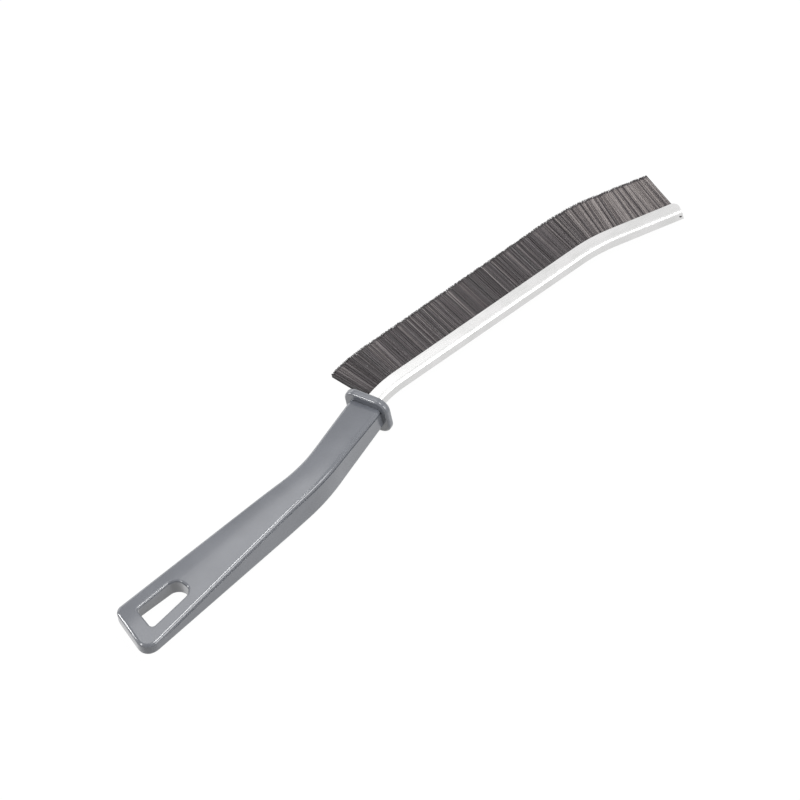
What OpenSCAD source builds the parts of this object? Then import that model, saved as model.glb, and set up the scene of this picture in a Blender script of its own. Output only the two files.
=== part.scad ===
// Joint brush: a moulded handle that holds a bent metal channel, with bristles
// doubled over a core wire inside the channel. Millimetres, lying on its side.
// +X runs along the head's straight run to the tip, +Y is the bristles' way, +Z is up.

/* [Head line] */
// Angle between the neck and the head's straight run
neck_a = 21; // [12:0.5:28]
// Radius of the bend in front of the guard, at the channel's mid-height
root_bend_r = 36.5; // [30:0.5:80]
// Length of the straight run between the two bends
run_len = 70.3; // [40:0.5:120]
// Radius of the bend near the tip, at the channel's mid-height
tip_bend_r = 46; // [30:1:90]
// Angle of the bend near the tip
tip_a = 15.4; // [5:0.1:25]
// Length of the straight stretch after the tip bend
tip_len = 22.7; // [15:0.5:40]

/* [Channel] */
// Height of the folded channel
channel_h = 4.6; // [4:0.1:5.4]
// Width of the folded channel
channel_w = 3.9; // [3.5:0.1:4.4]
// Thickness of the strip that the channel is folded from
strip_t = 0.5; // [0.35:0.05:0.6]
// Inner radius of the channel's two folds
fold_r = 0.3; // [0.15:0.05:0.5]
// Radius on the lips' corners at the tip
lip_corner_r = 2.2; // [1:0.1:3.4]
// Length of the channel that is pushed into the handle
tang_len = 15; // [10:0.5:20]
// Diameter of the staking hole in the channel's back
stake_d = 0.9; // [0.5:0.1:1.4]
// Distance of the staking hole from the channel's tip end
stake_in = 0.9; // [0.9:0.1:3]

/* [Core wire] */
// Diameter of the wire that the bristles are doubled over
wire_d = 1; // [0.7:0.05:1.3]
// Depth of the doubled bristles under the wire
loop_t = 0.4; // [0.2:0.05:0.8]
// Distance from the wire's end to the channel's tip end
wire_short = 2.4; // [1.8:0.1:6]

/* [Bristles] */
// Height of the head, from the channel's back to the bristle tips
head_h = 20; // [14:0.5:30]
// Width of one strand
strand_w = 0.55; // [0.4:0.05:0.65]
// Rows of strands across the channel
rows = 3; // [2:1:3]
// Columns of strands in one section
columns = 15; // [13:1:17]
// Number of sections along the channel
sections = 8; // [6:1:9]
// Distance between the guard and the first bristles
bristle_gap = 2.4; // [0.6:0.1:4]
// Distance between the last bristles and the channel's tip end
bristle_end = 0.7; // [0.4:0.1:3]
// Lean of the bristles beside the guard, away from square to the channel
root_lean = -8; // [-12:0.5:2]
// Lean of the bristles at the tip, away from square to the channel
tip_lean = 11; // [0:0.5:14]
// How far the outer rows stand out at the bristle tips
row_spread = 0.5; // [0:0.05:1.2]
// Shortest strands, as a loss of length at the tips
ragged = 0.3; // [0:0.1:1.5]

/* [Handle] */
// Length of the straight neck behind the guard
neck_len = 23.5; // [18:0.5:35]
// Width of the neck at the guard
neck_w = 11; // [9:0.1:13]
// Thickness of the neck at the guard
neck_t = 8; // [7.5:0.1:11]
// Radius of the bend between neck and grip, on the handle's middle line
grip_bend_r = 60; // [40:1:120]
// Angle between the grip and the head's straight run
grip_a = 5.8; // [0:0.1:11]
// Width that the two tapers meet at, halfway round the bend
waist_w = 9.6; // [8:0.1:12]
// Thickness that the two tapers meet at, where the grip starts
crown_t = 11.4; // [9:0.1:13]
// Length of the straight grip, on the handle's middle line
grip_len = 70.6; // [50:0.1:110]
// Width of the grip at its end
end_w = 20.4; // [16:0.1:24]
// Thickness of the grip at its end
end_t = 5; // [4:0.1:8]
// Slant of the grip's end, with its lower corner further out
end_slant = 16; // [0:0.5:20]
// Radius of the grip's upper end corner, as seen from above
end_top_r = 3; // [2:0.1:6]
// Radius of the grip's lower end corner, as seen from above
end_low_r = 4.2; // [2:0.1:6]
// Rounding along the handle's edges
edge_r = 1.1; // [0.5:0.1:1.8]

/* [Guard] */
// Width of the guard across the neck, the bristles' way
guard_w = 15.8; // [14:0.1:24]
// Depth of the guard across the neck's thickness
guard_d = 14.2; // [12.4:0.1:18]
// Thickness of the guard
guard_t = 2.6; // [2.4:0.1:4]
// Radius of the guard's corners
guard_r = 4.2; // [2.4:0.1:5.6]
// Rounding of the guard's rim
rim_r = 0.9; // [0.4:0.1:1.1]

/* [Hang slot] */
// Wall between the grip's end and the slot
slot_wall = 6.5; // [4:0.1:9]
// Length of the slot on the handle's middle line
slot_len = 17; // [12:0.1:26]
// Width of the slot at its outer end
slot_out_w = 8.7; // [6:0.1:10]
// Width of the slot at its inner, round end
slot_in_w = 7.4; // [5:0.1:8.6]
// Radius of the slot's two outer corners
slot_r = 1.2; // [0.5:0.1:2.5]
// Slant of the slot's outer end
slot_slant = 12; // [0:0.5:20]
// How far the slot lies below the handle's middle line
slot_drop = 0.3; // [0:0.1:0.8]
// How much further out the slot's walls are at the back than at the front
slot_draft = 0.8; // [0:0.1:1]
// Rounding of the slot's edges on both faces
slot_rim_r = 0.9; // [0.3:0.1:1.4]

/* [Fits] */
// Clearance round the tang in its socket
tang_fit = 0.08; // [0.04:0.01:0.2]
// Clearance round the bristle roots, the wire and between sections
root_fit = 0.05; // [0.02:0.01:0.12]

/* [Hidden] */
$fn = 64;
// Steps of a rounded edge, of the guard's rim and of a corner arc, and the spacing of points along a curve
edge_steps = 3;
rim_steps = 4;
arc_steps = 6;
point_gap = 2.4;
// Half the length over which two tapers are blended
blend = 12;
overlap = 1;

// A pose is [x, y, heading]; it moves a length l along a line, or along a bend of radius r
// that turns left when r is positive.
function arc_len(r, a) = r * a * PI / 180;
function go(p, l, r = 0) =
    r == 0 ? [p[0] + l * cos(p[2]), p[1] + l * sin(p[2]), p[2]]
    : let (a = p[2] + l / r * 180 / PI)
      [p[0] + r * (sin(a) - sin(p[2])), p[1] - r * (cos(a) - cos(p[2])), a];
function side(p, w) = [p[0] - w * sin(p[2]), p[1] + w * cos(p[2])];
function dir(a) = [cos(a), sin(a)];
function sum(v, n) = n == 0 ? 0 : v[n - 1] + sum(v, n - 1);

// The head's line is the channel's mid-height, measured from the guard's handle side
root = [0, 0, neck_a];
head_runs = [
    [guard_t, 0],
    [arc_len(root_bend_r, neck_a), -root_bend_r],
    [run_len, 0],
    [arc_len(tip_bend_r, tip_a), -tip_bend_r],
    [tip_len, 0]
];
run_ends = [for (i = [0:5]) sum([for (run = head_runs) run[0]], i)];
head_len = run_ends[5];
function head_at(s, i = 0, p = root) =
    s < 0 ? go(root, s)
    : i == 4 || s <= run_ends[i + 1] ? go(p, s - run_ends[i], head_runs[i][1])
    : head_at(s, i + 1, go(p, head_runs[i][0], head_runs[i][1]));

// The handle's middle line runs back from the guard: neck, bend, grip
bend_len = arc_len(grip_bend_r, neck_a - grip_a);
handle_len = neck_len + bend_len + grip_len;
bend_start = go(root, -neck_len);
bend_end = go(bend_start, -bend_len, grip_bend_r);
bend_centre = side(bend_start, grip_bend_r);
function handle_at(d) =
    d <= neck_len ? go(root, -d)
    : d <= neck_len + bend_len ? go(bend_start, neck_len - d, grip_bend_r)
    : go(bend_end, neck_len + bend_len - d);
// How far behind the guard a point of the handle lies, along the middle line
function behind(p) =
    let (back = -p * dir(neck_a))
    back <= neck_len ? back
    : let (v = p - bend_centre, a = atan2(v[0], -v[1]))
      a >= grip_a ? neck_len + arc_len(grip_bend_r, neck_a - a)
      : neck_len + bend_len - (p - [bend_end[0], bend_end[1]]) * dir(grip_a);

// Two tapers that meet at u = 0, joined by a parabola over the blend's length
function tapers(u, middle, before, after) =
    abs(u) >= blend ? middle + (u < 0 ? before : after) * u
    : middle + (before + after) / 2 * u + (after - before) * (u * u + blend * blend) / (4 * blend);
waist_at = neck_len + bend_len / 2;
crown_at = neck_len + bend_len;
function half_w(d) = tapers(d - waist_at, waist_w,
    (waist_w - neck_w) / waist_at, (end_w - waist_w) / (handle_len - waist_at)) / 2;
function half_t(d) = tapers(d - crown_at, crown_t,
    (crown_t - neck_t) / crown_at, (end_t - crown_t) / (handle_len - crown_at)) / 2;

// Points of an arc that rounds the corner q between p and r
function heading(v) = atan2(v[1], v[0]);
function turn(a) = a > 180 ? a - 360 : a <= -180 ? a + 360 : a;
function corner(p, q, r, radius) =
    let (a = heading(q - p), t = turn(heading(r - q) - a), start = q - dir(a) * radius * tan(t / 2))
    [for (i = [0:arc_steps]) let (g = go([start[0], start[1], a], arc_len(radius, t) * i / arc_steps, radius))
        [g[0], g[1]]];
// An outline moved outwards, which is to the right of the way it is drawn
function grown(pts, by) = [for (i = [0:len(pts) - 1]) let (
        v = pts[min(i + 1, len(pts) - 1)] - pts[max(i - 1, 0)], n = [v[1], -v[0]] / norm(v))
    pts[i] + n * by];
function grown_loop(pts, by) = [for (i = [0:len(pts) - 1]) let (n = len(pts),
        v = pts[(i + 1) % n] - pts[(i + n - 1) % n], out = [v[1], -v[0]] / norm(v))
    pts[i] + out * by];

// A closed solid from loops of points stacked downwards; each loop is drawn anticlockwise
module stack(loops) {
    n = len(loops[0]);
    last = (len(loops) - 1) * n;
    polyhedron([for (loop = loops) each loop], [
        for (k = [0:len(loops) - 2]) for (i = [0:n - 1]) let (
            a = k * n + i, b = k * n + (i + 1) % n) each [[a, b, b + n], [a, b + n, a + n]],
        for (i = [0:n / 2 - 2]) each [
            [n - 1 - i, n - 2 - i, i + 1],
            [n - 1 - i, i + 1, i],
            [last + i, last + i + 1, last + n - 2 - i],
            [last + i, last + n - 2 - i, last + n - 1 - i]
        ]
    ]);
}

// The grip's end line, which the upper and lower edges run into
function edge_point(d, up) = side(handle_at(d), up * half_w(d));
function end_cross(w) = handle_len - w * tan(end_slant);
curve_from = waist_at - blend;
curve_to = crown_at + blend;
curve_steps = ceil((curve_to - curve_from) / point_gap);
edge_ds = [
    -guard_t / 2,
    for (i = [0:curve_steps]) curve_from + (curve_to - curve_from) * i / curve_steps,
    end_cross(half_w(handle_len)) - end_top_r - end_t
];
top_edge = [for (d = edge_ds) edge_point(d, 1)];
low_edge = [for (d = edge_ds) edge_point(d, -1)];
end_taper = half_w(handle_len) - half_w(handle_len - 1);
top_cross = half_w(handle_len) / (1 + end_taper * tan(end_slant));
low_cross = half_w(handle_len) / (1 - end_taper * tan(end_slant));
end_top = side(handle_at(end_cross(top_cross)), top_cross);
end_low = side(handle_at(end_cross(-low_cross)), -low_cross);
handle_outline = [
    each top_edge,
    each corner(top_edge[len(edge_ds) - 1], end_top, end_low, end_top_r),
    each corner(end_top, end_low, low_edge[len(edge_ds) - 1], end_low_r),
    for (i = [len(edge_ds) - 1:-1:0]) low_edge[i]
];
// One layer of the handle, at an angle round its rounded edge
function handle_layer(a, up) = [for (p = grown(handle_outline, -edge_r * (1 - cos(a))))
    [p[0], p[1], up * (half_t(behind(p)) - edge_r * (1 - sin(a)))]];
handle_layers = [
    for (i = [edge_steps:-1:0]) handle_layer(90 * i / edge_steps, 1),
    for (i = [0:edge_steps]) handle_layer(90 * i / edge_steps, -1)
];

// The hang slot's outline, from its outer end inwards
slot_far = handle_len - slot_wall;
slot_near = slot_far - slot_len;
function slot_point(d, w, slant) = side(handle_at(d - w * tan(slant)), w - slot_drop);
slot_corners = [
    slot_point(slot_near, slot_in_w / 2, 0),
    slot_point(slot_far, slot_out_w / 2, slot_slant),
    slot_point(slot_far, -slot_out_w / 2, slot_slant),
    slot_point(slot_near, -slot_in_w / 2, 0)
];
slot_in_r = slot_in_w / 2 * 0.93;
slot_outline = [for (i = [0:3]) each corner(slot_corners[(i + 3) % 4], slot_corners[i],
    slot_corners[(i + 1) % 4], i == 0 || i == 3 ? slot_in_r : slot_r)];
// One layer of the slot, its rounded edges lifted a hair so that they cut the handle's faces cleanly
function slot_layer(a, up, over = 0.03) = let (out = slot_rim_r * (1 - cos(a)) + (up < 0 ? slot_draft : 0))
    [for (p = grown_loop(slot_outline, out))
        [p[0], p[1], up * (half_t(behind(p)) - slot_rim_r * (1 - sin(a)) + over)]];
slot_layers = [
    slot_layer(90, 1, overlap),
    for (i = [edge_steps:-1:0]) slot_layer(90 * i / edge_steps, 1),
    for (i = [0:edge_steps]) slot_layer(90 * i / edge_steps, -1),
    slot_layer(90, -1, overlap)
];

// Bristle roots inside the channel, and the strands' places along it
floor_w = strip_t - channel_h / 2;
root_low = floor_w + root_fit;
root_top = channel_h / 2 - strip_t;
root_half = channel_w / 2 - strip_t - root_fit;
wire_w = root_low + loop_t + wire_d / 2;
bristle_from = guard_t + bristle_gap;
bristle_to = head_len - bristle_end;
section_len = (bristle_to - bristle_from) / sections;
pitch = (section_len - root_fit) / columns;
row_pitch = (2 * root_half - strand_w) / rows;
free_len = head_h - channel_h / 2 - root_top;
// Lean of the strand at s: fades out over the first bend, and builds up from the tip bend on
function lean(s) =
    s < run_ends[2] ? root_lean * (1 - s / run_ends[2])
    : s > run_ends[3] ? tip_lean * (s - run_ends[3]) / (head_len - run_ends[3])
    : 0;
function column_at(k, c) = bristle_from + section_len * k + root_fit / 2 + pitch * (c + 0.5);
function row_at(j) = (j - (rows - 1) / 2) * row_pitch;
losses = rands(0, ragged, sections * columns * rows, 7);
// Way from a strand's foot to its tip
function strand(k, c, j) = let (
        s = column_at(k, c), l = free_len - losses[(k * columns + c) * rows + j],
        z = rows == 1 ? 0 : row_spread * (2 * j / (rows - 1) - 1), flat = sqrt(l * l - z * z),
        way = dir(head_at(s)[2] + 90 + lean(s)))
    [flat * way[0], flat * way[1], z];

// The box of the whole brush, which sets where the origin lies
strand_tips = [for (k = [0:sections - 1]) for (c = [0:columns - 1]) let (
        foot = side(head_at(column_at(k, c) + strand_w / 2), root_top), way = strand(k, c, rows - 1))
    [foot[0] + way[0], foot[1] + way[1]]];
tip_end = head_at(head_len);
xs = [for (p = handle_outline) p[0], for (p = strand_tips) p[0], side(tip_end, -channel_h / 2)[0],
    side(tip_end, channel_h / 2 - lip_corner_r)[0]];
ys = [for (p = handle_outline) p[1], for (p = strand_tips) p[1], side(tip_end, -channel_h / 2)[1]];
half_deep = max(guard_d / 2, max([for (d = edge_ds) half_t(d)]), channel_w / 2);
to_origin = [-(min(xs) + max(xs)) / 2, -(min(ys) + max(ys)) / 2, half_deep];

// Places along the head's line where a swept section is drawn: each bend is turned in steps
bend_steps = 5;
turns = [for (i = [1:4]) let (n = head_runs[i][1] == 0 ? 1 : bend_steps)
    for (j = [0:n - 1]) run_ends[i] + head_runs[i][0] * j / n];
// A section of [height across the line, z] points swept along the head's line
module sweep(section, from, to) {
    places = [from, for (s = turns) if (s > from + root_fit && s < to - root_fit) s, to];
    stack([for (s = places) let (p = head_at(s)) [for (q = section) let (b = side(p, q[0])) [b[0], b[1], q[1]]]]);
}
// Half of the U's outline from its lip to its back, moved in by the strip's thickness for its inner side
function u_side(in, r, up) = [
    [channel_h / 2, up * (channel_w / 2 - in)],
    for (i = [0:edge_steps]) let (a = 90 * i / edge_steps)
        [in + r * (1 - sin(a)) - channel_h / 2, up * (channel_w / 2 - in - r * (1 - cos(a)))]
];
function back_to_front(v) = [for (i = [len(v) - 1:-1:0]) v[i]];
channel_section = [
    each u_side(0, fold_r + strip_t, -1),
    each back_to_front(u_side(0, fold_r + strip_t, 1)),
    each u_side(strip_t, fold_r, 1),
    each back_to_front(u_side(strip_t, fold_r, -1))
];
wire_sides = 16;
function wire_section(d) = [for (i = [0:wire_sides - 1]) let (a = 360 * (i + 0.5) / wire_sides)
    [wire_w + d / 2 * cos(a), -d / 2 * sin(a)]];

// One layer of the guard as the neck runs through it, at an angle round its rim; the layers
// are stacked towards the head, and the corners turn right, so their radius is negative
function guard_layer(a, front) = let (in = rim_r * (1 - cos(a)), w = guard_w / 2 - in, d = guard_d / 2 - in,
        pose = go(root, guard_t / 2 + front * (guard_t / 2 - rim_r * (1 - sin(a)))),
        q = [[w, -d], [-w, -d], [-w, d], [w, d]])
    [for (i = [0:3]) for (c = corner(q[(i + 3) % 4], q[i], q[(i + 1) % 4], in - guard_r))
        let (b = side(pose, c[0])) [b[0], b[1], c[1]]];
guard_layers = [
    for (i = [rim_steps:-1:0]) guard_layer(90 * i / rim_steps, -1),
    for (i = [0:rim_steps]) guard_layer(90 * i / rim_steps, 1)
];

// Moulded handle: grip with its hang slot, neck, guard, and a socket for the tang
module handle() {
    color([0.56, 0.57, 0.59]) translate(to_origin) difference() {
        union() {
            stack(handle_layers);
            stack(guard_layers);
        }
        stack(slot_layers);
        rotate(neck_a) translate([(guard_t + overlap - tang_len - tang_fit) / 2, 0, 0])
            cube([tang_len + tang_fit + guard_t + overlap, channel_h + 2 * tang_fit, channel_w + 2 * tang_fit],
                center = true);
    }
}

// Folded metal channel, its tang inside the neck and its lips rounded off at the tip
module channel() {
    color([0.86, 0.87, 0.87]) translate(to_origin) difference() {
        sweep(channel_section, -tang_len, head_len);
        translate([tip_end[0], tip_end[1]]) rotate(tip_end[2]) {
            translate([0, channel_h / 2, 0]) difference() {
                cube([2 * lip_corner_r, 2 * lip_corner_r, channel_w + overlap], center = true);
                translate([-lip_corner_r, -lip_corner_r, 0])
                    cylinder(r = lip_corner_r, h = channel_w + 2 * overlap, center = true);
            }
            translate([-stake_in, -channel_h / 2, 0]) rotate([90, 0, 0])
                cylinder(d = stake_d, h = 3 * strip_t, center = true);
        }
    }
}

// Core wire along the bottom of the channel
module core_wire() {
    color([0.62, 0.62, 0.6]) translate(to_origin)
        sweep(wire_section(wire_d), -tang_len, head_len - wire_short);
}

// One section of bristles: its strands, fused to the slice of doubled roots below them
module bristles(k) {
    lines = [
        bristle_from + section_len * k + root_fit / 2,
        for (c = [0:columns - 1]) each [column_at(k, c) - strand_w / 2, column_at(k, c) + strand_w / 2],
        bristle_from + section_len * (k + 1) - root_fit / 2
    ];
    across = [-root_half, for (j = [0:rows - 1]) each [row_at(j) - strand_w / 2, row_at(j) + strand_w / 2],
        root_half];
    nl = len(lines);
    na = len(across);
    low = nl * na;
    tips = low + 2 * nl;
    points = [
        for (s = lines) for (z = across) let (q = side(head_at(s), root_top)) [q[0], q[1], z],
        for (s = lines) for (z = [-root_half, root_half]) let (q = side(head_at(s), root_low)) [q[0], q[1], z],
        for (c = [0:columns - 1]) for (j = [0:rows - 1]) let (way = strand(k, c, j))
            for (e = [[0, 0], [1, 0], [1, 1], [0, 1]]) let (
                q = side(head_at(lines[1 + 2 * c + e[0]]), root_top), z = across[1 + 2 * j + e[1]])
            [q[0], q[1], z] + way
    ];
    faces = [
        // The roots' upper side between the strands, then their two long sides and their underside
        for (i = [0:nl - 2]) for (j = [0:na - 2]) if (i % 2 == 0 || j % 2 == 0) let (a = i * na + j)
            each [[a, a + na + 1, a + 1], [a, a + na, a + na + 1]],
        for (i = [0:nl - 2]) let (a = i * na, b = low + 2 * i)
            each [[a, b + 2, a + na], [a, b, b + 2]],
        for (i = [0:nl - 2]) let (a = i * na + na - 1, b = low + 2 * i + 1)
            each [[a, a + na, b + 2], [a, b + 2, b]],
        for (i = [0:nl - 2]) let (b = low + 2 * i) each [[b, b + 1, b + 3], [b, b + 3, b + 2]],
        // The two ends of the slice
        for (j = [0:na - 2]) [low, j, j + 1],
        [low, na - 1, low + 1],
        let (a = (nl - 1) * na, b = low + 2 * (nl - 1)) each [
            for (j = [0:na - 2]) [b, a + j + 1, a + j],
            [b, b + 1, a + na - 1]
        ],
        // The strands' sides and tips
        for (c = [0:columns - 1]) for (j = [0:rows - 1]) let (
                a = (1 + 2 * c) * na + 1 + 2 * j, foot = [a, a + na, a + na + 1, a + 1],
                t = tips + 4 * (c * rows + j))
            each [
                for (e = [0:3]) let (f = (e + 1) % 4) each [[foot[e], t + f, t + e], [foot[e], foot[f], t + f]],
                [t, t + 2, t + 3],
                [t, t + 1, t + 2]
            ]
    ];
    color([0.36, 0.35, 0.35]) translate(to_origin) difference() {
        polyhedron(points, faces);
        sweep(wire_section(wire_d + 2 * root_fit), lines[0] - overlap, lines[nl - 1] + overlap);
    }
}

handle();
channel();
core_wire();
for (k = [1:sections]) bristles(k - 1);
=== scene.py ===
import bpy
import bmesh
import math
import random
from mathutils import Matrix, Vector, noise


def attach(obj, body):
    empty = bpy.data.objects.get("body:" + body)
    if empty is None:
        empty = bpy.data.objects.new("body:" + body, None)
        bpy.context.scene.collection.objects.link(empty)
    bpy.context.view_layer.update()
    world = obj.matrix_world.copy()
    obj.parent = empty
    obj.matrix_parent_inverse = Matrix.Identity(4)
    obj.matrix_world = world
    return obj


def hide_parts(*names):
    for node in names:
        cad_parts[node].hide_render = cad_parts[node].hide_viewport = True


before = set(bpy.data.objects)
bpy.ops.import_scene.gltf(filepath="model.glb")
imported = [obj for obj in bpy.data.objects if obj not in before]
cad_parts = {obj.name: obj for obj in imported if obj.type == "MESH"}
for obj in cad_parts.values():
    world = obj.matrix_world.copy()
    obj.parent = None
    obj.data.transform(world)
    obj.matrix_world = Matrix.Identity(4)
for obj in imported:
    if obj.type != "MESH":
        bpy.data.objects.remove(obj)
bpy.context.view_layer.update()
mm = 0.001


# Lines that the pieces follow, in mm and degrees as in the CAD

brushLines = {
    "rootPoint": (-6.15411, 3.92028, 7.1),  # neck's middle where it meets the guard, in the frame
    "neckAngle": 21,
    "gripAngle": 5.8,
    "neckLength": 23.5,
    "gripLength": 70.6,
    "gripBendRadius": 60,
    "guardThickness": 2.6,
    "rootBendRadius": 36.5,
    "runLength": 70.3,
    "tipBendRadius": 46,
    "tipAngle": 15.4,
    "tipLength": 22.7,
}


def arcLength(radius, angle):
    return radius * math.radians(angle)


def walk(pose, length, radius=0):  # a pose is x, y and heading in degrees; a positive radius turns left
    x, y, heading = pose
    old = math.radians(heading)
    if not radius:
        return x + length * math.cos(old), y + length * math.sin(old), heading
    heading += math.degrees(length / radius)
    new = math.radians(heading)
    return (x + radius * (math.sin(new) - math.sin(old)),
            y - radius * (math.cos(new) - math.cos(old)), heading)


neckAngle = brushLines["neckAngle"]
neckLength = brushLines["neckLength"]
bendRadius = brushLines["gripBendRadius"]
guardThickness = brushLines["guardThickness"]
rootPose = (brushLines["rootPoint"][0], brushLines["rootPoint"][1], neckAngle)
midHeight = brushLines["rootPoint"][2]
headRuns = [  # length and radius of each stretch, from the guard's handle side to the tip
    (guardThickness, 0),
    (arcLength(brushLines["rootBendRadius"], neckAngle), -brushLines["rootBendRadius"]),
    (brushLines["runLength"], 0),
    (arcLength(brushLines["tipBendRadius"], brushLines["tipAngle"]), -brushLines["tipBendRadius"]),
    (brushLines["tipLength"], 0),
]
headLength = sum(run[0] for run in headRuns)
bendLength = arcLength(bendRadius, neckAngle - brushLines["gripAngle"])
bendEnd = neckLength + bendLength  # where the grip's straight stretch begins
handleLength = bendEnd + brushLines["gripLength"]


def headAt(s):  # along the head, from the guard's handle side
    pose = rootPose
    for length, radius in headRuns[:-1]:
        if s <= length:
            return walk(pose, s, radius)
        pose = walk(pose, length, radius)
        s -= length
    return walk(pose, s)


def handleAt(d):  # back along the handle, from the guard
    if d <= neckLength:
        return walk(rootPose, -d)
    bendStart = walk(rootPose, -neckLength)
    if d <= bendEnd:
        return walk(bendStart, neckLength - d, bendRadius)
    return walk(walk(bendStart, -bendLength, bendRadius), bendEnd - d)


def beside(pose, w, z=0):  # a point w to the left of a pose and z above the mid-plane, in metres
    h = math.radians(pose[2])
    return Vector((pose[0] - w * math.sin(h), pose[1] + w * math.cos(h), midHeight + z)) * mm


# Helpers for materials

def linear(hexColour):  # sRGB hex to the linear RGBA that sockets take
    parts = [int(hexColour[i:i + 2], 16) / 255 for i in (1, 3, 5)]
    return tuple(c / 12.92 if c <= 0.04045 else ((c + 0.055) / 1.055) ** 2.4 for c in parts) + (1,)


def addNode(holder, kind, settings=None, inputs=None):  # inputs hold values, or (node, output) to link from
    node = holder.node_tree.nodes.new(kind)
    for key, value in (settings or {}).items():
        setattr(node, key, value)
    for key, value in (inputs or {}).items():
        if isinstance(value, tuple) and hasattr(value[0], "outputs"):
            holder.node_tree.links.new(value[0].outputs[value[1]], node.inputs[key])
        else:
            node.inputs[key].default_value = value
    return node


def newMaterial(name):
    material = bpy.data.materials.new(name)
    material.use_nodes = True
    material.node_tree.nodes.clear()
    return material


def surface(material, shader):
    addNode(material, "ShaderNodeOutputMaterial", None, {"Surface": (shader, 0)})
    return material


def colourRamp(material, fac, stops):
    ramp = addNode(material, "ShaderNodeValToRGB", None, {"Fac": fac})
    elements = ramp.color_ramp.elements
    while len(elements) < len(stops):
        elements.new(0.5)
    for element, (place, colour) in zip(elements, stops):
        element.position = place
        element.color = colour
    return ramp


def stretchedPlace(material, along):  # Object coordinates, with patterns drawn out along the brush
    place = addNode(material, "ShaderNodeTexCoord")
    return addNode(material, "ShaderNodeMapping", None, {"Vector": (place, "Object"), "Scale": (along, 1, 1)})


# Helpers for meshes

def asObject(bm, name, material=None):
    bmesh.ops.recalc_face_normals(bm, faces=bm.faces)
    mesh = bpy.data.meshes.new(name)
    bm.to_mesh(mesh)
    bm.free()
    piece = bpy.data.objects.new(name, mesh)
    bpy.context.collection.objects.link(piece)
    if material:
        mesh.materials.append(material)
    return piece


def roundEdges(bm, edges, setback, segments):  # the setback, in mm, is the radius where faces meet squarely
    bmesh.ops.bevel(bm, geom=edges, offset=setback * mm, offset_type="OFFSET", affect="EDGES",
                    segments=segments, profile=0.5, material=-1)


def cornerSetback(edge, radius):  # the setback that gives a radius at a corner of any angle
    return radius * math.tan(edge.calc_face_angle() / 2)


def isCorner(edge):  # whether its two faces turn by more than about 70 degrees
    return len(edge.link_faces) == 2 and edge.calc_face_angle() > 1.2


def isUpright(edge):
    return abs((edge.verts[0].co - edge.verts[1].co).normalized().z) > 0.9


def isRim(edge):  # whether an edge parts a wide face, which looks up or down, from a side
    tilts = sorted(abs(f.normal.z) for f in edge.link_faces)
    return len(tilts) == 2 and tilts[0] < 0.3 and tilts[1] > 0.9


def smoothShade(piece, angle):  # smooth across the roundings, with the wide faces kept flat
    piece.data.shade_smooth()
    piece.data.set_sharp_from_angle(angle=math.radians(angle))
    piece.modifiers.new("weighted", "WEIGHTED_NORMAL").keep_sharp = True


def combined(piece, cutters):  # applies each boolean in turn and clears the helper shapes away
    for cutter, operation in cutters:
        modifier = piece.modifiers.new(operation, "BOOLEAN")
        modifier.operation = operation
        modifier.solver = "MANIFOLD"
        modifier.object = cutter
        mesh = bpy.data.meshes.new_from_object(piece.evaluated_get(bpy.context.evaluated_depsgraph_get()))
        piece.modifiers.clear()
        old, piece.data = piece.data, mesh
        bpy.data.meshes.remove(old)
        bpy.data.objects.remove(cutter)


# Materials, with the sizes of their patterns in mm

plasticLook = {
    "face": "#6D7077",
    "shade": "#63666D",
    "roughness": (0.26, 0.35),
    "ior": 1.54,
    "shine": 0.15,
    "skin": 1.0,  # share of the clear gloss skin left by the polished mould
    "skinRoughness": 0.17,
    "skinIor": 1.65,
    "grain": 0.35,  # the fine spark-eroded grain of the mould
    "grainHeight": 0.03,
    "grainStrength": 0.06,
    "flow": 14,  # broad cloudiness where the melt flowed
}


def mouldedPlastic():
    # Injection-moulded ABS, cool grey: even and slightly cloudy.
    # Its gloss skin draws bright lines along the rounded edges.
    look = plasticLook
    m = newMaterial("injectionMouldedGreyAbs")
    place = addNode(m, "ShaderNodeTexCoord")
    flow = addNode(m, "ShaderNodeTexNoise", None,
                   {"Vector": (place, "Object"), "Scale": 1000 / look["flow"], "Detail": 2.0})
    colour = colourRamp(m, (flow, "Fac"), [(0.35, linear(look["shade"])), (0.65, linear(look["face"]))])
    grain = addNode(m, "ShaderNodeTexNoise", None,
                    {"Vector": (place, "Object"), "Scale": 1000 / look["grain"], "Detail": 1.0})
    rough = addNode(m, "ShaderNodeMapRange", None, {
        "Value": (flow, "Fac"), "To Min": look["roughness"][0], "To Max": look["roughness"][1]})
    bump = addNode(m, "ShaderNodeBump", None, {
        "Height": (grain, "Fac"), "Strength": look["grainStrength"], "Distance": look["grainHeight"] * mm})
    shader = addNode(m, "ShaderNodeBsdfPrincipled", None, {
        "Base Color": (colour, "Color"), "Roughness": (rough, "Result"), "Normal": (bump, "Normal"),
        "IOR": look["ior"], "Specular IOR Level": look["shine"], "Coat Weight": look["skin"],
        "Coat Roughness": look["skinRoughness"], "Coat IOR": look["skinIor"]})
    return surface(m, shader)


stripLook = {
    "metal": "#DAD9D9",
    "dull": "#D0D0CF",
    "roughness": (0.21, 0.35),
    "cloud": 6.25,  # size of the duller patches in the coating
    "rollMarks": 0.25,  # distance between the faint lines left by rolling
    "markStretch": 0.02,
    "markHeight": 0.02,
    "markStrength": 0.15,
}


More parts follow.
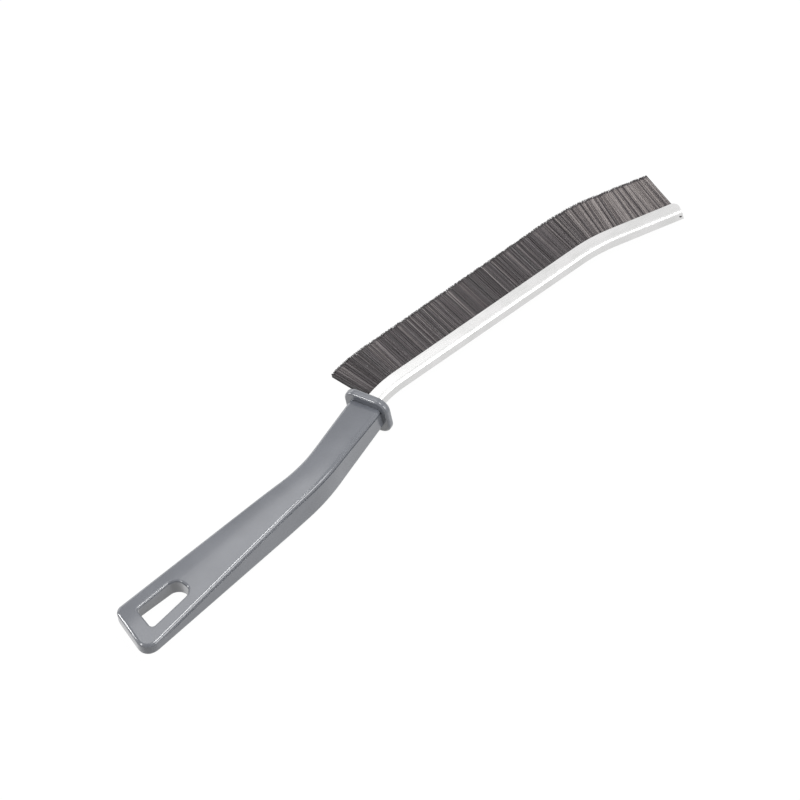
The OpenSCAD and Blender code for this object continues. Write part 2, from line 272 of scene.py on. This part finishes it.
def zincStrip():
    # Zinc-coated steel strip, rolled and folded: near white, with faint lines along its length
    look = stripLook
    m = newMaterial("rolledZincSteelStrip")
    marks = addNode(m, "ShaderNodeTexNoise", None, {
        "Vector": (stretchedPlace(m, look["markStretch"]), "Vector"), "Scale": 1000 / look["rollMarks"],
        "Detail": 2.0})
    place = addNode(m, "ShaderNodeTexCoord")
    cloud = addNode(m, "ShaderNodeTexNoise", None,
                    {"Vector": (place, "Object"), "Scale": 1000 / look["cloud"], "Detail": 3.0})
    colour = colourRamp(m, (cloud, "Fac"), [(0.3, linear(look["dull"])), (0.7, linear(look["metal"]))])
    rough = addNode(m, "ShaderNodeMapRange", None, {
        "Value": (marks, "Fac"), "To Min": look["roughness"][0], "To Max": look["roughness"][1]})
    bump = addNode(m, "ShaderNodeBump", None, {
        "Height": (marks, "Fac"), "Strength": look["markStrength"], "Distance": look["markHeight"] * mm})
    shader = addNode(m, "ShaderNodeBsdfPrincipled", None, {
        "Base Color": (colour, "Color"), "Roughness": (rough, "Result"), "Normal": (bump, "Normal"),
        "Metallic": 1.0})
    return surface(m, shader)


wireLook = {
    "bright": "#A9A9A4",
    "dull": "#8E8E8A",
    "roughness": 0.38,
    "dieLines": 0.2,  # distance between the lines left by the die
    "lineStretch": 0.03,
}


def drawnWire():
    # Plain drawn steel wire: a duller grey than the strip, with fine lines along it
    look = wireLook
    m = newMaterial("drawnSteelWire")
    dieLines = addNode(m, "ShaderNodeTexNoise", None, {
        "Vector": (stretchedPlace(m, look["lineStretch"]), "Vector"), "Scale": 1000 / look["dieLines"]})
    colour = colourRamp(m, (dieLines, "Fac"), [(0.3, linear(look["dull"])), (0.7, linear(look["bright"]))])
    shader = addNode(m, "ShaderNodeBsdfPrincipled", None, {
        "Base Color": (colour, "Color"), "Metallic": 1.0, "Roughness": look["roughness"]})
    return surface(m, shader)


fibreLook = {
    "dark": "#2B2829",
    "mid": "#554F51",
    "pale": "#9C9593",
    "roughness": (0.37, 0.5),
    "ior": 1.53,
    "drawScale": 900,  # cells per metre of the unevenness that drawing leaves along the filament
}


def bristleFibre():
    # Extruded nylon filament, warm dark grey: each fibre differs a little, and its side has a thin sheen
    look = fibreLook
    m = newMaterial("extrudedNylonFilament")
    # fibreTone holds random tone plus painted shade at the fibres' feet, cut tips and outer ends, and painted
    # light towards the tip and beside the guard
    tone = addNode(m, "ShaderNodeAttribute", {"attribute_name": "fibreTone"})
    colour = colourRamp(m, (tone, "Fac"), [
        (0.0, linear(look["dark"])), (0.5, linear(look["mid"])), (1.0, linear(look["pale"]))])
    place = addNode(m, "ShaderNodeTexCoord")
    draw = addNode(m, "ShaderNodeTexNoise", None,
                   {"Vector": (place, "Object"), "Scale": look["drawScale"], "Detail": 1.0})
    rough = addNode(m, "ShaderNodeMapRange", None, {
        "Value": (draw, "Fac"), "To Min": look["roughness"][0], "To Max": look["roughness"][1]})
    shader = addNode(m, "ShaderNodeBsdfPrincipled", None, {
        "Base Color": (colour, "Color"), "Roughness": (rough, "Result"), "IOR": look["ior"]})
    return surface(m, shader)


plastic = mouldedPlastic()
strip = zincStrip()
fibre = bristleFibre()
print("materials made")


# Handle: one moulding of grip, neck and guard

handleSpec = {
    "neckWidth": 11, "waistWidth": 9.6, "endWidth": 20.28,
    "neckThickness": 8, "crownThickness": 11.4, "endThickness": 5,
    "blend": 12,  # half the length that two tapers are blended over
    "endSlant": 16, "endTopRadius": 3, "endLowRadius": 4.2,
    "endZone": 8,  # how far from the end its corners are looked for
    "edgeRadius": 1.1,
    # the wide faces stand proud by the rise along their middle, and fall away sideways, per mm²
    "swellRise": 0.2, "swellCurve": 0.0063,
    "swellCuts": 9, "swellPitch": 2,  # lengthwise cuts that let them bend, and how far apart
    "guardWidth": 15.8, "guardDepth": 14.2, "guardCorner": 4.2, "guardRim": 0.9,
    "intoGuard": 1,  # how far the neck reaches into the guard
    "curvedFrom": 12, "curvedLength": 42, "stationGap": 1.5,  # where sections are drawn close together
    # the dark line along the lower side, just below the rounded edge
    "lineWidth": 0.8, "lineDepth": 0.22, "lineFrom": -0.5,
    "lineOver": 0.3,  # how far its cutter stands out of the side
    # before the handle's end: where it stops, where its depth would be nothing, and over what length it fades
    "lineStop": 4, "lineVanish": 3.6, "lineFade": 8,
    "socketHeight": 4.76, "socketWidth": 4.06, "socketDepth": 15.08,  # the tang and 0.08 of clearance
    "socketCut": 22,  # length of the cutter, which reaches out through the guard
}


def tapers(u, middle, before, after, blend):  # two slopes that meet at the middle and run smoothly together
    if abs(u) >= blend:
        return middle + (before if u < 0 else after) * u
    return middle + (before + after) / 2 * u + (after - before) * (u * u + blend * blend) / (4 * blend)


def halfWidth(d):
    h, at = handleSpec, neckLength + bendLength / 2
    return tapers(d - at, h["waistWidth"], (h["waistWidth"] - h["neckWidth"]) / at,
                  (h["endWidth"] - h["waistWidth"]) / (handleLength - at), h["blend"]) / 2


def halfThickness(d):
    h, at = handleSpec, bendEnd
    return tapers(d - at, h["crownThickness"], (h["crownThickness"] - h["neckThickness"]) / at,
                  (h["endThickness"] - h["crownThickness"]) / (handleLength - at), h["blend"]) / 2


def sectionAt(d, slant=0):  # four corners across the handle; a slant moves the lower side further out
    points = []
    for side, up in ((1, 1), (-1, 1), (-1, -1), (1, -1)):
        along = d - side * halfWidth(d) * math.tan(math.radians(slant))
        points.append(beside(handleAt(along), side * halfWidth(along), up * halfThickness(along)))
    return points


def sweptBar(sections):  # a closed bar through four-cornered sections
    bm = bmesh.new()
    face = bm.faces.new([bm.verts.new(c) for c in sections[0]])
    for i, corners in enumerate(sections[1:]):
        made = bmesh.ops.extrude_face_region(bm, geom=[face])["geom"]
        if i:
            bmesh.ops.delete(bm, geom=[face], context="FACES_ONLY")
        face = next(g for g in made if isinstance(g, bmesh.types.BMFace))
        for vert, corner in zip(face.verts, corners):
            vert.co = corner
    bmesh.ops.recalc_face_normals(bm, faces=bm.faces)
    return bm


def curvedStops():  # places along the neck and the bend, where the handle isn't straight
    h = handleSpec
    count = int(h["curvedLength"] / h["stationGap"]) + 1
    return [h["curvedFrom"] + i * h["stationGap"] for i in range(count)]


def gripAndNeck():
    h = handleSpec
    sections = [sectionAt(d) for d in [-h["intoGuard"], 0] + curvedStops()]
    return sweptBar(sections + [sectionAt(handleLength, h["endSlant"])])


def roundEnd(bm):  # the end's two upright corners, then the long edges round both wide faces
    h = handleSpec
    endStart = handleAt(handleLength - h["endZone"])[0] * mm
    tail = sorted((e for e in bm.edges if isUpright(e) and max(v.co.x for v in e.verts) < endStart),
                  key=lambda e: e.verts[0].co.y)
    for edge, radius in zip(tail, (h["endLowRadius"], h["endTopRadius"])):
        roundEdges(bm, [edge], cornerSetback(edge, radius), segments=12)
    rim = [e for e in bm.edges if isRim(e) and min(v.co.x for v in e.verts) < rootPose[0] * mm]
    roundEdges(bm, rim, h["edgeRadius"], segments=6)


def seenFrom(pose, point):  # how far behind a pose a point lies, and how far to its left
    x, y, h = point.x / mm - pose[0], point.y / mm - pose[1], math.radians(pose[2])
    return -x * math.cos(h) - y * math.sin(h), y * math.cos(h) - x * math.sin(h)


def handlePlace(point):  # how far back along the handle a point lies, and how far left of its middle line
    d, w = seenFrom(rootPose, point)
    if d <= neckLength:
        return d, w
    gripStart = handleAt(bendEnd)
    d, w = seenFrom(gripStart, point)
    if d >= 0:
        return bendEnd + d, w
    h = math.radians(gripStart[2])
    x = point.x / mm - gripStart[0] + bendRadius * math.sin(h)  # from the bend's centre
    y = point.y / mm - gripStart[1] - bendRadius * math.cos(h)
    turned = math.atan2(x, -y) - h
    return bendEnd - bendRadius * turned, bendRadius - math.hypot(x, y)


def swell(w):
    return handleSpec["swellRise"] - handleSpec["swellCurve"] * w * w


def cutLengthwise(bm, pose, isWanted):  # along a straight stretch of the handle
    h = handleSpec
    across = beside(pose, 1) - beside(pose, 0)
    for i in range(h["swellCuts"]):
        w = (i - (h["swellCuts"] - 1) / 2) * h["swellPitch"]
        faces = [f for f in bm.faces if isWanted(handlePlace(f.calc_center_median())[0])]
        edges = dict.fromkeys(e for f in faces for e in f.edges)
        verts = dict.fromkeys(v for f in faces for v in f.verts)
        bmesh.ops.bisect_plane(bm, geom=[*verts, *edges, *faces], dist=1e-7,
                               plane_co=beside(pose, w), plane_no=across)


def swellFaces(bm):  # bends both wide faces, and leaves the guard as it is
    split = neckLength + bendLength / 2
    cutLengthwise(bm, rootPose, lambda d: 0 < d < split)
    cutLengthwise(bm, handleAt(handleLength), lambda d: d >= split)
    near, margin = 0.01, 0.3  # mm of play, so that no point on the handle's own outline is left out
    for v in bm.verts:
        d, w = handlePlace(v.co)
        up = v.co.z - midHeight * mm
        if d > -near and abs(w) < halfWidth(d) + margin and abs(up) < (halfThickness(d) + near) * mm:
            v.co.z += up * swell(w) / halfThickness(d)


def lineCutter():
    h = handleSpec
    stop = handleLength - h["lineStop"]
    sections = []
    for d in [h["lineFrom"]] + curvedStops() + [stop - h["lineFade"], stop]:
        w = halfWidth(d)
        top = halfThickness(d) - h["edgeRadius"]
        low = top - h["lineWidth"]
        deep = w - h["lineDepth"] * min(1, (handleLength - d - h["lineVanish"]) / h["lineFade"])
        out = w + h["lineOver"]
        sections.append([beside(handleAt(d), -q, up) for q, up in (
            (out, top), (deep, top), (deep, low), (out, low))])
    return asObject(sweptBar(sections), "lineCutter")


def turnedBlock(size, alongNeck):  # a block that lies along the neck's line, with its middle at that place
    bm = bmesh.new()
    bmesh.ops.create_cube(bm, size=1)
    bmesh.ops.scale(bm, vec=Vector(size) * mm, verts=bm.verts)
    turn = Matrix.Rotation(math.radians(neckAngle), 4, "Z")
    return bm, Matrix.Translation(beside(walk(rootPose, alongNeck), 0)) @ turn


def guardPlate():
    h = handleSpec
    bm, place = turnedBlock((guardThickness, h["guardWidth"], h["guardDepth"]), guardThickness / 2)
    along = [e for e in bm.edges if abs(e.verts[0].co.x - e.verts[1].co.x) > guardThickness / 2 * mm]
    roundEdges(bm, along, h["guardCorner"], segments=12)
    rim = [e for e in bm.edges if abs(e.verts[0].co.x - e.verts[1].co.x) < 1e-7]
    roundEdges(bm, rim, h["guardRim"], segments=8)
    bmesh.ops.transform(bm, matrix=place, verts=bm.verts)
    return asObject(bm, "guardPlate")


def socketCutter():
    h = handleSpec
    bm, place = turnedBlock((h["socketCut"], h["socketHeight"], h["socketWidth"]),
                            h["socketCut"] / 2 - h["socketDepth"])
    bmesh.ops.transform(bm, matrix=place, verts=bm.verts)
    return asObject(bm, "socketCutter")


slotSpec = {
    "wall": 6.5, "length": 17, "outerWidth": 8.7, "innerWidth": 7.4,
    "slant": 12, "outerRadius": 1.2, "rimRadius": 0.9,
    "innerRound": 0.93,  # how nearly the end towards the neck is a full half circle
    "drop": 0.3,  # below the handle's middle line
    "draft": 0.8,  # how much further out its walls are at the back
    "cutHeight": 9,  # how far the cutter reaches above and below
    "rimReach": 0.62,  # of the length: how far from its middle its rim is looked for
}
slotFar = handleLength - slotSpec["wall"]
slotNear = slotFar - slotSpec["length"]
slotMiddle = (slotNear + slotFar) / 2


def slotOutline(level):  # four corners at a height, in metres
    s = slotSpec
    grow = s["draft"] * (0.5 - level / (2 * halfThickness(slotMiddle)))
    wide, thin = s["outerWidth"] / 2 + grow, s["innerWidth"] / 2 + grow
    skew = wide * math.tan(math.radians(s["slant"]))
    return [beside(handleAt(d), w - s["drop"], level) for d, w in (
        (slotNear - grow, thin), (slotFar + grow - skew, wide), (slotFar + grow + skew, -wide),
        (slotNear - grow, -thin))]


def slotCutter():
    s = slotSpec
    bm = bmesh.new()
    loops = [[bm.verts.new(c) for c in slotOutline(level)] for level in (-s["cutHeight"], s["cutHeight"])]
    bm.faces.new(loops[0])
    bm.faces.new(loops[1])
    for i in range(4):
        j = (i + 1) % 4
        bm.faces.new((loops[0][i], loops[0][j], loops[1][j], loops[1][i]))
    bmesh.ops.recalc_face_normals(bm, faces=bm.faces)
    middleX = handleAt(slotMiddle)[0] * mm
    for inner, radius in ((True, s["innerWidth"] / 2 * s["innerRound"]), (False, s["outerRadius"])):
        posts = [e for e in bm.edges
                 if isUpright(e) and isCorner(e) and (e.verts[0].co.x > middleX) == inner]
        for edge in posts:
            roundEdges(bm, [edge], cornerSetback(edge, radius), segments=14)
    return asObject(bm, "slotCutter")


def roundSlotRim(bm):
    centre = beside(handleAt(slotMiddle), 0)
    reach = slotSpec["length"] * slotSpec["rimReach"] * mm
    rim = [e for e in bm.edges if isRim(e) and all((v.co - centre).xy.length < reach for v in e.verts)]
    roundEdges(bm, rim, slotSpec["rimRadius"], segments=5)


def makeHandle():
    bm = gripAndNeck()
    roundEnd(bm)
    piece = asObject(bm, "handleMoulding", plastic)
    combined(piece, [(guardPlate(), "UNION"), (slotCutter(), "DIFFERENCE"),
                     (socketCutter(), "DIFFERENCE"), (lineCutter(), "DIFFERENCE")])
    bm = bmesh.new()
    bm.from_mesh(piece.data)
    bmesh.ops.remove_doubles(bm, verts=bm.verts, dist=1e-6)
    roundSlotRim(bm)
    swellFaces(bm)
    bm.to_mesh(piece.data)
    bm.free()
    smoothShade(piece, angle=32)
    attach(piece, "root")
    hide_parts("handle")


makeHandle()
print("handle made")


# Channel: a strip folded to a U, bent twice

channelSpec = {
    "height": 4.6, "width": 3.9, "strip": 0.5, "foldRadius": 0.8,
    "tang": 15,  # the length inside the neck
    "lipCorner": 2.2,
    "stakeHole": 0.9, "stakeIn": 0.9,  # the punched hole's width, and how far from the tip it lies
    "bendStep": 0.9,
    "straightPlace": 50,  # along the head: a place in its straight run
    "cornerPlay": 0.05,  # how close to one line the lips' corners lie
    "line": 1.35, "lineHalf": 0.4, "lineDepth": 0.07,  # a shallow line pressed into each side above the fold
}


def channelStops():
    c = channelSpec
    stops, s = [-c["tang"]], 0
    for length, radius in headRuns:
        if radius:
            n = math.ceil(length / c["bendStep"])
            stops += [s + length * i / n for i in range(n + 1)]
        s += length
    return stops + [headLength]


def channelCorners():  # the U from lip to lip, as heights across the line and offsets to the sides
    c = channelSpec
    h, w = c["height"] / 2, c["width"] / 2
    line = [(c["line"] + c["lineHalf"], 0), (c["line"], c["lineDepth"]),
            (c["line"] - c["lineHalf"], 0), (0, 0)]
    half = [(h, w)] + [(up - h, w - deep) for up, deep in line]
    return [(q, -z) for q, z in half] + half[::-1]


def foldedSheet():  # the U's outer side, swept along the head's line
    corners, stops = channelCorners(), channelStops()
    bm = bmesh.new()
    row = [bm.verts.new(beside(headAt(stops[0]), q, z)) for q, z in corners]
    edges = [bm.edges.new((row[i], row[i + 1])) for i in range(len(row) - 1)]
    for s in stops[1:]:
        made = bmesh.ops.extrude_edge_only(bm, edges=edges)["geom"]
        verts = [g for g in made if isinstance(g, bmesh.types.BMVert)]
        edges = [g for g in made if isinstance(g, bmesh.types.BMEdge)]
        previous = dict(zip([v.co.copy().freeze() for v in row], corners))
        fresh = {}
        for v in verts:
            q, z = min(previous.items(), key=lambda item: (item[0] - v.co).length)[1]
            v.co = beside(headAt(s), q, z)
            fresh[(q, z)] = v
        row = [fresh[k] for k in corners]
        edges = [e for e in edges if all(v in row for v in e.verts)]
    return bm


def thickened(bm):  # rounds the two folds, and gives the strip its thickness inwards
    c = channelSpec
    bm.normal_update()
    folds = [e for e in bm.edges if isCorner(e)]
    roundEdges(bm, folds, c["foldRadius"], segments=6)
    bmesh.ops.recalc_face_normals(bm, faces=bm.faces)
    middle = beside(headAt(c["straightPlace"]), 0)
    outward = sum(((f.calc_center_median() - middle).z * f.normal.z for f in bm.faces), 0.0)
    bmesh.ops.solidify(bm, geom=bm.faces, thickness=c["strip"] * mm * (1 if outward > 0 else -1))
    bmesh.ops.recalc_face_normals(bm, faces=bm.faces)


def stakeCutter(tipPose):  # the hole punched through the channel's back, near its tip
    c = channelSpec
    radius = c["stakeHole"] / 2 * mm
    bm = bmesh.new()
    bmesh.ops.create_cone(bm, cap_ends=True, segments=24, radius1=radius, radius2=radius,
                          depth=3 * c["strip"] * mm)
    turn = Matrix.Rotation(math.radians(tipPose[2]), 4, "Z") @ Matrix.Rotation(math.radians(90), 4, "X")
    place = beside(walk(tipPose, -c["stakeIn"]), -c["height"] / 2)
    bmesh.ops.transform(bm, matrix=Matrix.Translation(place) @ turn, verts=bm.verts)
    return asObject(bm, "stakeCutter")


def makeChannel():
    c = channelSpec
    tipPose = headAt(headLength)
    bm = foldedSheet()
    thickened(bm)
    lip = beside(tipPose, c["height"] / 2)
    play = c["cornerPlay"] * mm
    ends = [e for e in bm.edges if isUpright(e) and all((v.co - lip).xy.length < play for v in e.verts)]
    roundEdges(bm, ends, c["lipCorner"], segments=8)
    piece = asObject(bm, "channelStrip", strip)
    combined(piece, [(stakeCutter(tipPose), "DIFFERENCE")])
    smoothShade(piece, angle=35)
    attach(piece, "root")
    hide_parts("channel")


makeChannel()
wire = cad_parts["core_wire"]
wire.data.materials.clear()
wire.data.materials.append(drawnWire())
print("channel and wire made")


# Bristles: fine fibres in eight sections, each on its CAD section

bristleSpec = {
    "sections": 8,
    "from": 5.0, "short": 0.7,  # mm along the head where they start, and how far short of its tip they stop
    "gap": 0.05,  # mm between sections
    "headHeight": 19.99, "rootLift": 0.55,  # mm from the channel's back to the fibres' tips and to their feet
    "rootHalf": 1.28, "topHalf": 1.5,  # half the bundle's thickness there, and at the tips
    "fibre": 0.24,  # mm across
    "columnPitch": 0.22, "columnJitter": 0.25,  # mm between columns, and how unevenly, as a share of that
    "rows": 9, "rowJitter": 0.06,
    "rootLean": -8, "tipLean": 11,  # degrees along the head, beside the guard and at the tip
    "ragged": 0.4,  # mm that a fibre may be cut short
    "twist": 1.6,  # radians that a fibre may be turned about its own length
    "bow": 0.1, "quarterTurn": 1.57,  # mm that a fibre bows to a side, and radians to that side
    "drift": 1.1,  # degrees that neighbouring fibres wander together
    "driftGrain": (0.45, 0.35),  # how quickly that changes, along the channel per mm and from row to row
    "driftSlice": 3.1,  # which slice of the noise is used
    "stray": 0.3,  # degrees that each fibre strays by itself
    "calm": 6,  # mm at both ends where the fibres are pressed straight
    "rootRise": 1.4,  # how much longer the fibres would be at the guard itself
    "pinch": 0.55,  # how far the first fibres beside the guard are pressed together at their tips
    "pinchLength": 3,
    # height up a fibre, and its tone there: painted shade where it leaves the channel and at its cut tip, and
    # a little lighter just below the tip
    "rings": ((0, 0.3), (0.215, 0.3), (0.25, 0.9), (0.6, 1), (0.94, 1.15), (0.97, 0.3), (1, 0.2)),
    "seed": 11,
}
fibreFrom = bristleSpec["from"]
fibreTo = headLength - bristleSpec["short"]
rootBendEnd = headRuns[0][0] + headRuns[1][0]
tipBendStart = rootBendEnd + headRuns[2][0]

toneSpec = {  # tones run from 0, dark, to 1, pale
    "plain": 0.34, "paintedLighter": 0.42,  # an ordinary fibre, and how much paler the painted light makes it
    "streak": 0.48, "streakier": 0.45,  # how far neighbours differ together, and how much further where light is painted
    "streakGrain": (1.9, 0.2),  # how quickly that changes, along the channel per mm and from row to row
    "streakSlice": 0.7,  # which slice of the noise is used
    "single": 0.22,  # how far each fibre differs by itself
    "paintedLightFrom": 82, "paintedLightLength": 20,  # mm: painted light makes the fibres paler towards the tip, past the bend where they face the light, and they are more streaked there
    "guardPaintedLight": 0.35, "guardLength": 70,  # and a little of the same painted light beside the guard, where the guard shades the fibres
    "endWidth": 0.35, "endTone": 0.25,  # mm at both ends that lie in shadow, and the share of tone left there
}


def lean(s):  # degrees from square to the head, towards the handle; less than 0 is towards the tip
    if s < rootBendEnd:
        return bristleSpec["rootLean"] * (1 - s / rootBendEnd)
    if s > tipBendStart:
        return bristleSpec["tipLean"] * (s - tipBendStart) / (headLength - tipBendStart)
    return 0


def oneFibre():  # a thin prism of four sides, with rings on the way up so that it can bend
    rings = bristleSpec["rings"]
    bm = bmesh.new()
    bmesh.ops.create_cone(bm, cap_ends=True, segments=4, radius1=0.5, radius2=0.5, depth=1)
    bmesh.ops.translate(bm, vec=(0, 0, 0.5), verts=bm.verts)
    long = [e for e in bm.edges if abs(e.verts[0].co.z - e.verts[1].co.z) > 0.5]
    bmesh.ops.subdivide_edges(bm, edges=long, cuts=len(rings) - 2)
    for v in bm.verts:
        v.co.z = rings[round(v.co.z * (len(rings) - 1))][0]
    mesh = bpy.data.meshes.new("fibreShape")
    bm.to_mesh(mesh)
    bm.free()
    return mesh


def fibreWay(s, row, across, rng):  # the way from a fibre's foot to its tip, in mm, and its heading
    p = bristleSpec
    calm = min(1, (s - fibreFrom) / p["calm"], (fibreTo - s) / p["calm"])
    wander = noise.noise(Vector((s * p["driftGrain"][0], row * p["driftGrain"][1], p["driftSlice"])))
    drift = wander * p["drift"] * calm + rng.uniform(-p["stray"], p["stray"])
    heading = math.radians(headAt(s)[2] + 90 + lean(s) + drift)
    rise = p["rootRise"] * max(0, 1 - s / rootBendEnd) ** 2
    reach = p["headHeight"] - p["rootLift"] + rise - p["ragged"] * rng.random() ** 2
    way = Vector((math.cos(heading), math.sin(heading), 0)) * reach
    pinch = 1 - p["pinch"] * max(0, 1 - (s - fibreFrom) / p["pinchLength"])
    way.z = across * (p["topHalf"] * pinch - p["rootHalf"])
    return way, heading


def fibreShade(s, row, rng):  # a fibre's tone, with painted light and painted shade in it, which its rings then darken or lighten
    t = toneSpec
    # painted light, towards the tip and beside the guard
    pale = min(1, max(0, (s - t["paintedLightFrom"]) / t["paintedLightLength"]))
    pale += max(0, t["guardPaintedLight"] - s / t["guardLength"])
    streak = noise.noise(Vector((s * t["streakGrain"][0], t["streakSlice"], row * t["streakGrain"][1])))
    shade = t["plain"] + t["paintedLighter"] * pale + (t["streak"] + t["streakier"] * pale) * streak
    shade += rng.uniform(-t["single"], t["single"])
    # painted shade on the outermost fibres at both ends
    atEnd = min(s - fibreFrom, fibreTo - s) < t["endWidth"]
    return shade * t["endTone"] if atEnd else shade


def makeBristles(index, shape, rng):
    p = bristleSpec
    tones = dict(p["rings"])
    length = (fibreTo - fibreFrom) / p["sections"]
    start = fibreFrom + length * index + p["gap"] / 2
    columns = round((length - p["gap"]) / p["columnPitch"])
    pitch = (length - p["gap"]) / columns
    bm = bmesh.new()
    tone = bm.verts.layers.float.new("fibreTone")
    for column in range(columns):
        for row in range(p["rows"]):
            s = start + pitch * (column + 0.5 + rng.uniform(-p["columnJitter"], p["columnJitter"]))
            across = (row + 0.5) / p["rows"] * 2 - 1 + rng.uniform(-p["rowJitter"], p["rowJitter"])
            foot = beside(headAt(s), p["rootLift"] - channelSpec["height"] / 2, across * p["rootHalf"])
            way, heading = fibreWay(s, row, across, rng)
            known = len(bm.verts)
            bm.from_mesh(shape)
            bm.verts.ensure_lookup_table()
            twist = Matrix.Rotation(rng.uniform(0, p["twist"]), 4, "Z")
            turn = way.to_track_quat("Z", "Y").to_matrix().to_4x4() @ twist
            size = Matrix.Diagonal((p["fibre"] * mm, p["fibre"] * mm, way.length * mm, 1))
            sideways = heading + p["quarterTurn"]
            bow = Vector((math.cos(sideways), math.sin(sideways), 0)) * rng.uniform(-p["bow"], p["bow"]) * mm
            shade = fibreShade(s, row, rng)
            whole = Matrix.Translation(foot) @ turn @ size
            for v in bm.verts[known:]:
                up = v.co.z
                # the ring's tone puts painted shade on the fibre's foot and cut tip
                ringTone = min(tones.items(), key=lambda ring: abs(ring[0] - up))[1]
                v[tone] = min(1, max(0, shade * ringTone))
                v.co = whole @ v.co + bow * math.sin(up * math.pi)
    piece = asObject(bm, "bristleFibres%d" % (index + 1), fibre)
    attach(piece, "root")
    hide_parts("bristles_%d" % (index + 1))


rng = random.Random(bristleSpec["seed"])
fibreShape = oneFibre()
for index in range(bristleSpec["sections"]):
    makeBristles(index, fibreShape, rng)
print("bristles made")


# Floor, light and camera

studio = {
    "floor": "#989898",
    "floorReach": 4,  # m from its middle to each side
    "world": 0.06,  # strength of the room's own light
    "seenFloor": 0.85,  # how much of the floor's look is plain white
    "whiteFloor": 1.15,  # strength of that white
}


def seenRays(holder):  # 1 where the camera looks, straight or by way of metal, and 0 where light is gathered
    path = addNode(holder, "ShaderNodeLightPath")
    first = addNode(holder, "ShaderNodeMath", {"operation": "MAXIMUM"},
                    {0: (path, "Is Camera Ray"), 1: (path, "Is Glossy Ray")})
    return addNode(holder, "ShaderNodeMath", {"operation": "MAXIMUM"},
                   {0: (first, "Value"), 1: (path, "Is Transmission Ray")})


def makeFloor():
    bm = bmesh.new()
    bmesh.ops.create_grid(bm, x_segments=1, y_segments=1, size=studio["floorReach"])
    # Matt white paint: where it is looked at it is plain white, dimmed a little where the brush shades it
    m = newMaterial("paintedWhiteFloor")
    share = addNode(m, "ShaderNodeMath", {"operation": "MULTIPLY"},
                    {0: (seenRays(m), "Value"), 1: studio["seenFloor"]})
    paint = addNode(m, "ShaderNodeBsdfDiffuse", None, {"Color": linear(studio["floor"])})
    white = addNode(m, "ShaderNodeEmission", None, {"Strength": studio["whiteFloor"]})
    mixed = addNode(m, "ShaderNodeMixShader", None, {0: (share, "Value"), 1: (paint, 0), 2: (white, 0)})
    floor = asObject(bm, "floor", surface(m, mixed))


lamps = {  # place in m, the way its long side runs, long and short side in m, and watts
    "leftPanel": ((-0.497, 0.5, 0.19), (0, 0, 1), 0.24, 0.12, 1.65),
    "leftStrip": ((-0.604, 0.098, 0.337), (0, 0, 1), 0.34, 0.07, 1.3),
    "lowPanel": ((0.312, -0.585, 0.225), (1, 0.5, 0), 0.44, 0.4, 2.75),
    "edgeStrip": ((0.147, -0.23, 0.632), (1, 0, 0), 0.22, 0.22, 2.2),
    "gripPanel": ((0.02, 0.107, 0.313), (1, 0, 0), 0.17, 0.2, 0.19),  # near, so the channel doesn't mirror it
    "rightPanel": ((0.525, 0, 0.462), (0, 1, 0), 0.4, 0.4, 0.25),
    "backPanel": ((0.182, 0.63, 0.252), (1, -0.3, 0), 0.8, 0.3, 0.9),
}


def addLamp(name, place, longWay, length, width, power):
    lamp = bpy.data.lights.new(name, "AREA")
    lamp.shape = "RECTANGLE"
    lamp.size, lamp.size_y, lamp.energy = length, width, power
    back = Vector(place).normalized()
    side = (Vector(longWay) - back * Vector(longWay).dot(back)).normalized()
    holder = bpy.data.objects.new(name, lamp)
    holder.matrix_world = (Matrix.Translation(place)
                           @ Matrix((side, back.cross(side), back)).transposed().to_4x4())
    bpy.context.collection.objects.link(holder)


def makeWorld():
    world = bpy.data.worlds.new("paleRoom")
    bpy.context.scene.world = world
    world.use_nodes = True
    world.node_tree.nodes.clear()
    strength = addNode(world, "ShaderNodeMapRange", None,
                       {"Value": (seenRays(world), "Value"), "To Min": studio["world"], "To Max": 1.0})
    sky = addNode(world, "ShaderNodeBackground", None,
                  {"Color": (1, 1, 1, 1), "Strength": (strength, "Result")})
    addNode(world, "ShaderNodeOutputWorld", None, {"Surface": (sky, 0)})


cameraSpec = {
    "aim": (4.478, 0.734, 7.1),  # mm, what the picture's middle shows
    "width": 247.3,  # mm across the picture
    "level": (0.952, -0.110, 0.286),  # right and up of the picture before it is rolled
    "rise": (-0.082, 0.806, 0.586),
    "roll": 39.5,  # degrees
    "back": 0.6,  # m from the aim
}


def makeCamera():
    c = cameraSpec
    level, rise, roll = Vector(c["level"]), Vector(c["rise"]), math.radians(c["roll"])
    right = (level * math.cos(roll) - rise * math.sin(roll)).normalized()
    back = right.cross(level * math.sin(roll) + rise * math.cos(roll)).normalized()
    up = back.cross(right)
    camera = bpy.data.cameras.new("camera")
    camera.type = "ORTHO"
    camera.ortho_scale = c["width"] * mm
    camera.clip_start, camera.clip_end = 0.01, 10
    holder = bpy.data.objects.new("camera", camera)
    place = Vector(c["aim"]) * mm + back * c["back"]
    holder.matrix_world = Matrix.Translation(place) @ Matrix((right, up, back)).transposed().to_4x4()
    bpy.context.collection.objects.link(holder)
    bpy.context.scene.camera = holder


makeFloor()
makeWorld()
for name, lamp in lamps.items():
    addLamp(name, *lamp)
makeCamera()
bpy.context.scene.view_settings.view_transform = "Standard"
print("floor, light and camera made")
